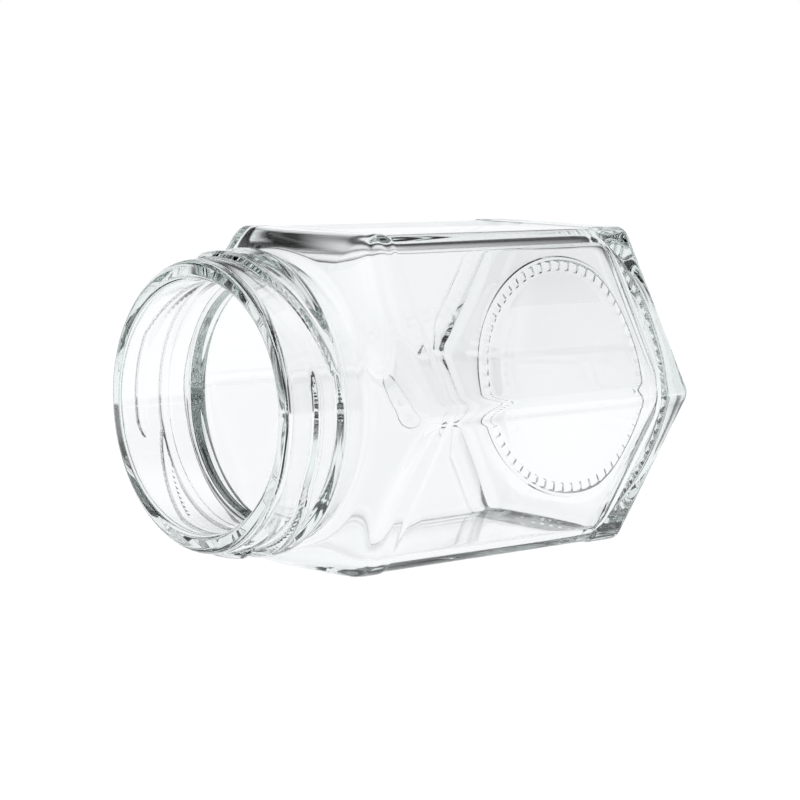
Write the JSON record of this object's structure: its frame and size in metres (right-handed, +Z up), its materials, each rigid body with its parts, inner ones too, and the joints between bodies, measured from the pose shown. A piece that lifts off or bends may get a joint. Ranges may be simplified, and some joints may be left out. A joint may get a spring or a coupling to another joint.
{
  "type": "hexagonal glass jar",
  "caption": "Empty clear glass food jar with a six-sided body, sloping shoulder, and round twist-off neck with inclined thread lugs, lying on one flat.",
  "frame": {"origin": "on the surface the jar lies on, under the middle of its bounding box", "axes": "+Z up, +X along the jar's own axis towards its base, so the mouth faces -X; two of the six flats are level, and two corners point to +Y and -Y"},
  "size_m": [0.106, 0.081, 0.071],
  "materials": {
    "glass": "clear moulded soda-lime glass, faint green-grey tint at the edges, smooth and slightly wavy"
  },
  "bodies": {
    "root": {"jar": "glass"}
  },
  "joints": []
}
